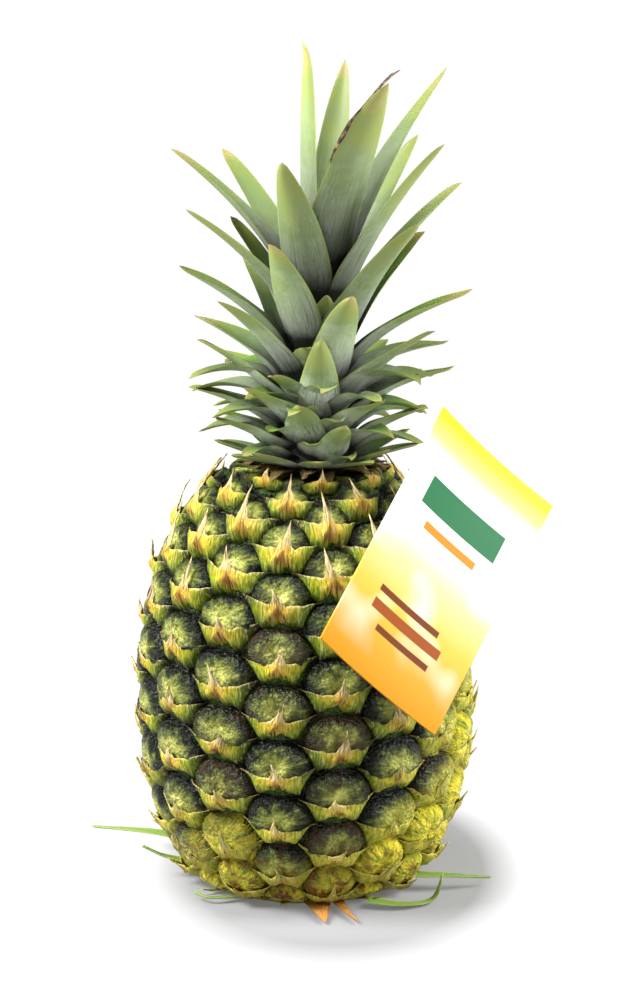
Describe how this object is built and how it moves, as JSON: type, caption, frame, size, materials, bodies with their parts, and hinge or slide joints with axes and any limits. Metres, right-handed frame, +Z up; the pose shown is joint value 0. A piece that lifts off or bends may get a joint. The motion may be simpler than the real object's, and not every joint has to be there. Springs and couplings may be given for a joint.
{
  "type": "whole pineapple",
  "caption": "Whole unpeeled pineapple standing upright, knobbly barrel of spiral eyes, spiky leaf crown, dry leaves at its foot and a plain card tag on its shoulder.",
  "frame": {"origin": "middle of the fruit's flat underside, on the surface it stands on", "axes": "+Z up along the fruit's axis towards the crown, -Y towards the front, +X to the right as seen from the front"},
  "size_m": [0.1672, 0.1412, 0.301],
  "materials": {
    "rind": "waxy uneven fruit rind, yellow-green with dark green-black eyes and tan bract tips",
    "stem": "matt pale green plant stem",
    "crown_leaf": "satin grey-green leaf with a waxy bloom and yellow-green tips",
    "foot_leaf": "matt drying green leaf",
    "dry_scale": "matt dry brown husk",
    "tag_card": "smooth coated card, printed white to yellow to orange"
  },
  "bodies": {
    "root": {"fruit": "rind", "crown_stem": "stem", "crown_leaf_01": "crown_leaf", "crown_leaf_02": "crown_leaf", "crown_leaf_03": "crown_leaf", "crown_leaf_04": "crown_leaf", "crown_leaf_05": "crown_leaf", "crown_leaf_06": "crown_leaf", "crown_leaf_07": "crown_leaf", "crown_leaf_08": "crown_leaf", "crown_leaf_09": "crown_leaf", "crown_leaf_10": "crown_leaf", "crown_leaf_11": "crown_leaf", "crown_leaf_12": "crown_leaf", "crown_leaf_13": "crown_leaf", "crown_leaf_14": "crown_leaf", "crown_leaf_15": "crown_leaf", "crown_leaf_16": "crown_leaf", "crown_leaf_17": "crown_leaf", "crown_leaf_18": "crown_leaf", "crown_leaf_19": "crown_leaf", "crown_leaf_20": "crown_leaf", "crown_leaf_21": "crown_leaf", "crown_leaf_22": "crown_leaf", "crown_leaf_23": "crown_leaf", "crown_leaf_24": "crown_leaf", "crown_leaf_25": "crown_leaf", "crown_leaf_26": "crown_leaf", "crown_leaf_27": "crown_leaf", "crown_leaf_28": "crown_leaf", "crown_leaf_29": "crown_leaf", "crown_leaf_30": "crown_leaf", "crown_leaf_31": "crown_leaf", "crown_leaf_32": "crown_leaf", "crown_leaf_33": "crown_leaf", "crown_leaf_34": "crown_leaf", "crown_leaf_35": "crown_leaf", "crown_leaf_36": "crown_leaf", "crown_leaf_37": "crown_leaf", "crown_leaf_38": "crown_leaf", "crown_leaf_39": "crown_leaf", "crown_leaf_40": "crown_leaf", "crown_leaf_41": "crown_leaf", "crown_leaf_42": "crown_leaf", "crown_leaf_43": "crown_leaf", "crown_leaf_44": "crown_leaf", "crown_leaf_45": "crown_leaf", "crown_leaf_46": "crown_leaf", "crown_leaf_47": "crown_leaf", "crown_leaf_48": "crown_leaf", "foot_leaf_spear": "foot_leaf", "foot_leaf_short": "foot_leaf", "foot_leaf_curl": "foot_leaf", "foot_leaf_hook": "foot_leaf", "foot_leaf_strip": "foot_leaf", "foot_scale_left": "dry_scale", "foot_scale_right": "dry_scale", "tag": "tag_card"}
  },
  "joints": []
}
